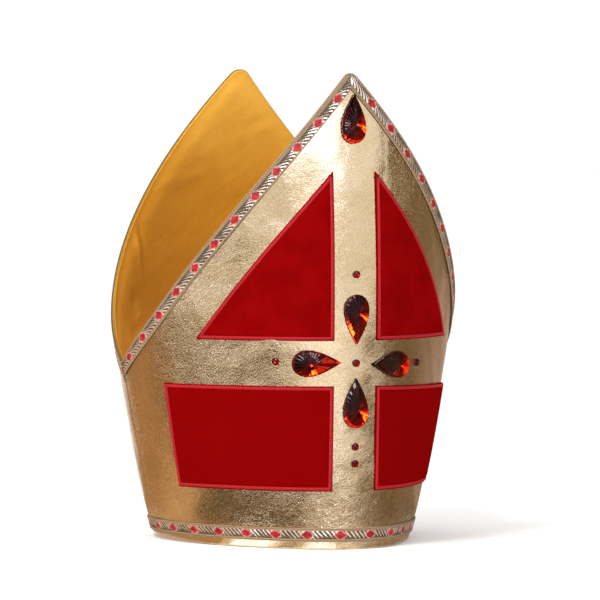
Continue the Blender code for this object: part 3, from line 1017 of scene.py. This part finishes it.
def make_stone(kind, gem, cut, size):
    """A flat-backed stone whose rings of corners are each turned by half a facet, closed by a table.

    It is drawn up as a straight column of rings first, and then each ring is set to its own outline and height.
    """
    width, length, thickness = size
    belly = cut.belly * length
    bm = bmesh.new()
    bmesh.ops.create_circle(bm, cap_ends=True, segments=cut.sides, radius=0.5)
    faces = bm.faces[:]
    for index in range(1, len(cut.rings)):
        covered = faces if index > 1 else []
        raised = bmesh.ops.extrude_face_region(bm, geom=faces)["geom"]
        faces = [part for part in raised if isinstance(part, bmesh.types.BMFace)]
        corners = [part for part in raised if isinstance(part, bmesh.types.BMVert)]
        bmesh.ops.translate(bm, verts=corners, vec=(0, 0, 1))
        bmesh.ops.delete(bm, geom=covered, context="FACES_ONLY")
    for vert in bm.verts:
        index = round(vert.co.z)
        turn = math.atan2(vert.co.x, vert.co.y) + max(index - 1, 0) * math.pi / cut.sides
        x, y = 0.5 * math.sin(turn), 0.5 * math.cos(turn)
        if length > width:
            x *= abs(math.sin(turn / 2)) ** POINT_SHARPNESS / PEAR_FULLNESS
        ring = cut.rings[index]
        vert.co = (x * width * ring.size, (y * length - belly) * ring.size + belly, ring.height * thickness)
    uv = bm.loops.layers.uv.new(PATTERN)
    turned = Matrix.Rotation(math.radians(-gem.turn), 2)
    for face in bm.faces:
        for loop in face.loops:
            loop[uv].uv = turned @ Vector((loop.vert.co.x, loop.vert.co.y - belly))
    bmesh.ops.connect_verts_concave(bm, faces=bm.faces)
    bmesh.ops.triangulate(bm, faces=[face for face in bm.faces if len(face.verts) == 4])
    bmesh.ops.transform(bm, verts=bm.verts, matrix=seat_on_front(gem))
    bmesh.ops.recalc_face_normals(bm, faces=bm.faces)
    finish_piece(f"{kind}_{gem.name}", bm, "crystal", f"{kind}_stone_{gem.name}", is_faceted=True)


# --- The stage ---


def on_floor(name, azimuths, near, far, colour, height=0.002):
    """A card that lies flat, between two distances out."""
    return Card("floor_" + name, azimuths, (near, height), (far, height), colour)


def at_rim(name, azimuths, colour, far=0.034):
    """A card close round the foot, for the gold hem under the base braid."""
    return Card("rim_" + name, azimuths, (0.001, 0.0004), (far, 0.0004), colour)


def on_wall(name, azimuths, low, high, colour, distance=2.3):
    """An upright card, between two heights."""
    return Card(name, azimuths, (distance, low), (distance, high), colour)


PALE_WALL, DARK_FLOOR, HIGH_FLOOR = (3.1, 3.5, 4.6), (0.22, 0.16, 0.11), 0.003
CARDS = (
    Card("key", (-26, 14), (2.3, 0.58), (2.2, 1.5), PALE_WALL),
    Card("key_left", (-48, -26), (2.3, 0.82), (2.2, 1.5), PALE_WALL),
    on_wall("wall_front", (-20, 14), 0.0, 0.58, (1.24, 1.24, 1.26)),
    Card("fill", (14, 47), (2.3, 0.45), (2.2, 1.5), (1.3, 1.35, 1.4)),
    on_wall("wall_fill", (14, 47), 0.0, 0.45, (1.2, 1.2, 1.2)),
    Card("strobe", (-55, -12), (2.3, 2.05), (1.6, 2.8), (55.0, 55.0, 55.0)),
    Card("ceiling", (-180, 180), (3.2, 2.6), (-0.1, 3.4), (0.20, 0.17, 0.15)),
    at_rim("far_left", (-160, -50), (0.62, 0.40, 0.20)),
    at_rim("left_soft", (-50, -45), (1.1, 0.95, 0.75), far=0.022),
    at_rim("left", (-45, -29), (2.5, 2.8, 3.5), far=0.022),
    at_rim("brown_soft", (-29, -25), (1.2, 1.1, 0.9)),
    at_rim("brown", (-25, -20), (0.55, 0.42, 0.28)),
    at_rim("middle_soft", (-20, -17), (1.1, 1.0, 0.8)),
    at_rim("middle", (-17, -6), (2.3, 2.6, 3.3)),
    at_rim("right_soft", (-6, 3), (0.95, 0.80, 0.58)),
    at_rim("right", (3, 70), (0.38, 0.28, 0.17)),
    on_floor("front", (-24, 15), 0.033, 0.32, (0.50, 0.42, 0.34)),
    on_floor("front_dark", (15, 33), 0.033, 0.80, (0.26, 0.20, 0.13)),
    on_floor("key", (-12, 15), 0.32, 1.2, (1.8, 1.9, 2.1)),
    on_floor("left_near", (-100, -76), 0.022, 0.15, (0.92, 0.60, 0.35)),
    on_floor("left_dark", (-76, -24), 0.022, 0.15, (0.20, 0.15, 0.10)),
    on_floor("left", (-100, -78), 0.15, 0.80, DARK_FLOOR),
    on_floor("patch", (-78, -62), 0.15, 0.50, DARK_FLOOR),
    on_floor("shade", (-62, -42), 0.15, 1.6, DARK_FLOOR),
    on_floor("middle", (-42, -24), 0.15, 0.70, DARK_FLOOR),
    on_floor("warm", (-166, -100), 0.033, 2.3, (0.56, 0.32, 0.15)),
    on_wall("wall_warm", (-166, -100), 0.0, 1.7, (0.68, 0.41, 0.19)),
    on_floor("right", (33, 100), 0.033, 2.3, (0.24, 0.17, 0.10), HIGH_FLOOR),
    on_floor("right_warm", (100, 116), 0.033, 2.3, (0.34, 0.24, 0.145), HIGH_FLOOR),
    on_wall("wall_right", (48, 116), 0.0, 1.7, (0.20, 0.145, 0.085)),
    on_wall("slot_near", (64, 66), 0.0, 1.7, (1.6, 1.3, 0.9), distance=2.28),
    on_wall("slot_far", (94, 98), 0.0, 1.7, (1.2, 0.95, 0.65), distance=2.28),
    on_wall("far_right", (116, 170), 0.0, 1.7, (0.70, 0.50, 0.45)),
    on_floor("far_right", (116, 170), 0.033, 2.3, (0.55, 0.38, 0.30), HIGH_FLOOR),
)
CARD_GRID = (48, 4)
FLOOR_SIZE = 60.0
FLOOR_SIDES = 96
WORLD_STRENGTH = 1.08
LIGHT_AZIMUTH = -58
LIGHT_ELEVATION = 46
LIGHT_DISTANCE = 2.3
LIGHT_SIZE = 0.7
LIGHT_POWER = 30
LIGHT_AIM = (0, 0, 0.16)
CAMERA_AZIMUTH = -24.4
CAMERA_ELEVATION = 2.10
CAMERA_DISTANCE = 3.5
CAMERA_ROLL = 0.23
CAMERA_LENS = 305.06
CAMERA_SENSOR = 36
CAMERA_CLIP = (0.1, 100)
CAMERA_AIM_ASIDE = 0.01430
CAMERA_AIM_HEIGHT = 0.16239


def towards(azimuth, elevation):
    """The direction to a place round the stage: azimuth 0 in front, and 90 to the right."""
    turn, rise = math.radians(azimuth), math.radians(elevation)
    return Vector((math.sin(turn) * math.cos(rise), -math.cos(turn) * math.cos(rise), math.sin(rise)))


def foot_radius(azimuth):
    """How far the hat's foot reaches from its middle in that direction."""
    turn = math.radians(azimuth)
    half = FRONT if math.cos(turn) > 0 else BACK
    foot = SECTIONS[0]
    wide = math.sin(turn) / foot.half_width
    deep = math.cos(turn) / (foot.front_depth if half is FRONT else foot.back_depth)
    draw = 1 + half.flank_draw * (wide * deep / (wide**2 + deep**2)) ** 2
    return draw / math.hypot(wide, deep)


def make_card(card):
    bm = bmesh.new()
    columns, rows = CARD_GRID
    for vert in bmesh.ops.create_grid(bm, x_segments=columns, y_segments=rows, size=0.5)["verts"]:
        azimuth = card.azimuths[0] + (card.azimuths[1] - card.azimuths[0]) * (vert.co.x + 0.5)
        share = vert.co.y + 0.5
        radius = card.near[0] * (1 - share) + card.far[0] * share + foot_radius(azimuth)
        height = card.near[1] * (1 - share) + card.far[1] * share
        vert.co = towards(azimuth, 0) * radius + Vector((0, SEAM_PLANE, height))
    name = "card_" + card.name
    obj = new_object(name, new_mesh(name, bm, glow(name, card.colour)))
    obj.visible_camera = False
    obj.visible_diffuse = False
    obj.visible_shadow = False


def make_floor():
    bm = bmesh.new()
    bmesh.ops.create_circle(bm, cap_ends=True, segments=FLOOR_SIDES, radius=FLOOR_SIZE / 2)
    s = Shading("white_floor")
    s.set(Base_Color=(0.95, 0.95, 0.95), Roughness=0.9, Specular_IOR_Level=0.1)
    new_object("floor", new_mesh("floor", bm, s.material))


def make_world():
    world = bpy.data.worlds.new("white_studio")
    world.use_nodes = True
    background = world.node_tree.nodes["Background"]
    background.inputs["Color"].default_value = (1, 1, 1, 1)
    background.inputs["Strength"].default_value = WORLD_STRENGTH
    bpy.context.scene.world = world


def make_light():
    light = bpy.data.lights.new("key_light", "AREA")
    light.shape = "SQUARE"
    light.size = LIGHT_SIZE
    light.energy = LIGHT_POWER
    obj = new_object("key_light", light)
    direction = towards(LIGHT_AZIMUTH, LIGHT_ELEVATION)
    obj.location = direction * LIGHT_DISTANCE + Vector(LIGHT_AIM)
    obj.rotation_mode = "QUATERNION"
    obj.rotation_quaternion = (-direction).to_track_quat("-Z", "Y")
    obj.visible_camera = False


def make_camera():
    """The photo's camera, from its azimuth, elevation and roll."""
    back = towards(CAMERA_AZIMUTH, CAMERA_ELEVATION)
    right = towards(CAMERA_AZIMUTH + 90, 0)
    aim = Vector((0, SEAM_PLANE, CAMERA_AIM_HEIGHT)) + right * CAMERA_AIM_ASIDE
    up = back.cross(right)
    roll = math.radians(CAMERA_ROLL)
    side = right * math.cos(roll) + up * math.sin(roll)
    data = bpy.data.cameras.new("camera")
    data.lens, data.sensor_width = CAMERA_LENS, CAMERA_SENSOR
    data.clip_start, data.clip_end = CAMERA_CLIP
    camera = new_object("camera", data)
    turn = Matrix((side, back.cross(side), back)).transposed().to_4x4()
    camera.matrix_world = Matrix.Translation(aim + back * CAMERA_DISTANCE) @ turn
    bpy.context.scene.camera = camera


# --- Settings that a user may change ---


def length_of(name, description, default):
    return FloatProperty(name=name, description=description, default=default, min=0, precision=5, subtype="DISTANCE",
                         unit="LENGTH")


def colour_of(name, description, default):
    return FloatVectorProperty(name=name, description=description, default=default, min=0, max=1, size=3,
                               subtype="COLOR")


class MitreSizes(bpy.types.PropertyGroup):
    """The lengths of the dressed pieces."""

    gold_wall: length_of("Gold wall", "Thickness of the stiffened gold walls", 0.002)
    edge_rounding: length_of("Edge rounding", "Radius of the walls' outer edges", 0.0009)
    ripple: length_of("Ripple", "Height of the soft hills in the gold", 0.0003)
    lining_wall: length_of("Lining", "Thickness of the padded satin lining", 0.001)
    lining_fold: length_of("Lining folds", "Depth of the slack folds in the lining", 0.0026)
    pile: length_of("Pile", "Height of the velvet with its backing", 0.0014)
    border_inset: length_of("Border inset", "Bare cloth outside the border of stitches", 0.0007)
    border_width: length_of("Border width", "Width of the border of stitches", 0.0022)
    border_height: length_of("Border height", "Height of the border of stitches", 0.0011)
    braid_width: length_of("Braid width", "Width of the jacquard braid", 0.009)
    braid_repeat: length_of("Braid repeat", "Distance from one diamond of the braid to the next", 0.022)
    braid_phase_left: length_of("Left phase", "First diamond from the tip on the left edge", 0.0218)
    braid_phase_right: length_of("Right phase", "First diamond from the tip on the right edge", 0.0270)
    base_braid_phase: length_of("Base phase", "First diamond from the front's middle on the base", 0.0124)
    pear_width: length_of("Pear width", "Width of the large stones", 0.018)
    pear_length: length_of("Pear length", "Length of the large stones", 0.0335)
    pear_height: length_of("Pear height", "Height of the large stones", 0.005)
    round_width: length_of("Round width", "Width of the small stones", 0.0052)
    round_height: length_of("Round height", "Height of the small stones", 0.002)


class MitreColours(bpy.types.PropertyGroup):
    """The colours of the finishes."""

    gold: colour_of("Gold", "The gold where it lies smooth", (0.69, 0.535, 0.355))
    gold_deep: colour_of("Deep gold", "The gold's duller patches", (0.62, 0.47, 0.28))
    # The gold crease colour is painted shade in the creases' bottoms
    gold_crease_shade: colour_of("Gold crease", "The bottoms of the creases", (0.36, 0.24, 0.11))
    # The satin colour is the lining's painted light, and the satin shade below it is the lining's painted shade down
    # inside
    satin: colour_of("Satin", "The lining", (0.76, 0.39, 0.055))
    satin_shade: colour_of("Satin shade", "The lining's darker clouds", (0.45, 0.170, 0.010))
    # Painted shade on the satin turned over the wall's edge
    satin_turned_painted_shade: colour_of("Turned satin", "The satin where it is turned over the wall's edge", (0.22, 0.085, 0.006))
    satin_light: colour_of("Satin light", "The lining's bright threads", (0.95, 0.60, 0.09))
    velvet: colour_of("Velvet", "The velvet where its pile leans", (0.228, 0.0013, 0.0019))
    # Deep velvet is both the standing pile and the painted shade low down
    velvet_standing_and_painted_shade: colour_of("Deep velvet", "The velvet where its pile stands", (0.190, 0.0009, 0.0013))
    stitch: colour_of("Stitching", "The borders' thread", (0.46, 0.017, 0.024))
    stitch_shade: colour_of("Stitching shade", "The borders' darker thread", (0.34, 0.010, 0.015))
    braid_red: colour_of("Braid red", "The braid's diamonds", (0.50, 0.014, 0.020))
    braid_red_deep: colour_of("Deep braid red", "The diamonds' darker threads", (0.22, 0.004, 0.006))
    braid_ring: colour_of("Braid ring", "The pale ring round the diamonds", (0.62, 0.33, 0.28))
    braid_silver: colour_of("Braid silver", "The braid's lurex ribs", (0.808, 0.663, 0.565))
    braid_ground: colour_of("Braid ground", "The braid's dark ground", (0.085, 0.0558, 0.0275))
    braid_edge: colour_of("Braid edge", "The cords down the braid's edges", (0.459, 0.305, 0.172))
    # Painted shade between the cords and on the back's turned edge
    braid_edge_shade: colour_of("Braid edge shade", "Between the cords", (0.080, 0.052, 0.028))
    stone: colour_of("Stone", "The cut stones", (0.26, 0.0065, 0.0010))
    # The stones' painted shade and painted fire
    stone_painted_shade: colour_of("Dark crystal", "The crystal where its foil lies in shade", (0.065, 0.0035, 0.0036))
    stone_painted_fire: colour_of("Lit crystal", "The crystal where the light comes back out", (0.60, 0.0115, 0.0006))


# --- Operators ---


class PieceOperator:
    """What the operators share: they need no choice from the user, and can be undone."""

    bl_options = {"REGISTER", "UNDO"}

    def execute(self, context):
        self.make(context.scene.mitre_sizes)
        return {"FINISHED"}


class MITRE_OT_gold(PieceOperator, bpy.types.Operator):
    """Make the gold walls of both halves"""

    bl_idname = "mitre.gold"
    bl_label = "Gold walls"

    def make(self, sizes):
        for half in HALVES:
            make_wall(half, sizes)


class MITRE_OT_lining(PieceOperator, bpy.types.Operator):
    """Line both halves with satin"""

    bl_idname = "mitre.lining"
    bl_label = "Satin lining"

    def make(self, sizes):
        for half in HALVES:
            make_lining(half, sizes)
        for side_name, side in SIDES:
            make_seam_tape(side_name, side, sizes)


class MITRE_OT_panels(PieceOperator, bpy.types.Operator):
    """Lay the velvet panels with their stitched borders"""

    bl_idname = "mitre.panels"
    bl_label = "Velvet panels"

    def make(self, sizes):
        for half in HALVES:
            for side_name, side in SIDES:
                for kind in ("lower", "upper"):
                    make_panel(half, side_name, side, kind, sizes)


class MITRE_OT_braids(PieceOperator, bpy.types.Operator):
    """Sew the braid along the peaks and round the base"""

    bl_idname = "mitre.braids"
    bl_label = "Jacquard braid"

    def make(self, sizes):
        for half in HALVES:
            make_peak_braid(half, sizes)
            make_base_braid(half, sizes)


class MITRE_OT_stones(PieceOperator, bpy.types.Operator):
    """Set the cut stones on the front"""

    bl_idname = "mitre.stones"
    bl_label = "Cut stones"

    def make(self, sizes):
        for gem in PEARS:
            make_stone("pear", gem, PEAR_CUT, (sizes.pear_width, sizes.pear_length, sizes.pear_height))
        for gem in ROUNDS:
            make_stone("round", gem, ROUND_CUT, (sizes.round_width, sizes.round_width, sizes.round_height))


class MITRE_OT_stage(bpy.types.Operator):
    """Set up the floor, the cards, the light and the camera"""

    bl_idname = "mitre.stage"
    bl_label = "Stage"

    def execute(self, context):
        make_floor()
        make_world()
        for card in CARDS:
            make_card(card)
        make_light()
        make_camera()
        context.scene.view_settings.view_transform = "Standard"
        return {"FINISHED"}


OPERATORS = (
    MITRE_OT_stage,
    MITRE_OT_gold,
    MITRE_OT_lining,
    MITRE_OT_panels,
    MITRE_OT_braids,
    MITRE_OT_stones,
)


class MITRE_PT_parts(bpy.types.Panel):
    """Lists the hat's pieces and their settings"""

    bl_idname = "MITRE_PT_parts"
    bl_label = "Mitre"
    bl_space_type = "VIEW_3D"
    bl_region_type = "UI"
    bl_category = "Mitre"

    def draw(self, context):
        for operator in OPERATORS:
            self.layout.operator(operator.bl_idname)
        for title, group in (("Sizes", context.scene.mitre_sizes), ("Colours", context.scene.mitre_colours)):
            box = self.layout.box()
            box.label(text=title)
            for name in group.bl_rna.properties.keys():
                if name not in ("rna_type", "name"):
                    box.prop(group, name)


CLASSES = (MitreSizes, MitreColours, *OPERATORS, MITRE_PT_parts)


def register():
    for kind in CLASSES:
        bpy.utils.register_class(kind)
    bpy.types.Scene.mitre_sizes = PointerProperty(type=MitreSizes)
    bpy.types.Scene.mitre_colours = PointerProperty(type=MitreColours)


def unregister():
    del bpy.types.Scene.mitre_colours
    del bpy.types.Scene.mitre_sizes
    for kind in reversed(CLASSES):
        bpy.utils.unregister_class(kind)


def main():
    register()
    for operator in OPERATORS:
        group, name = operator.bl_idname.split(".")
        getattr(getattr(bpy.ops, group), name)()


if __name__ == "__main__":
    main()
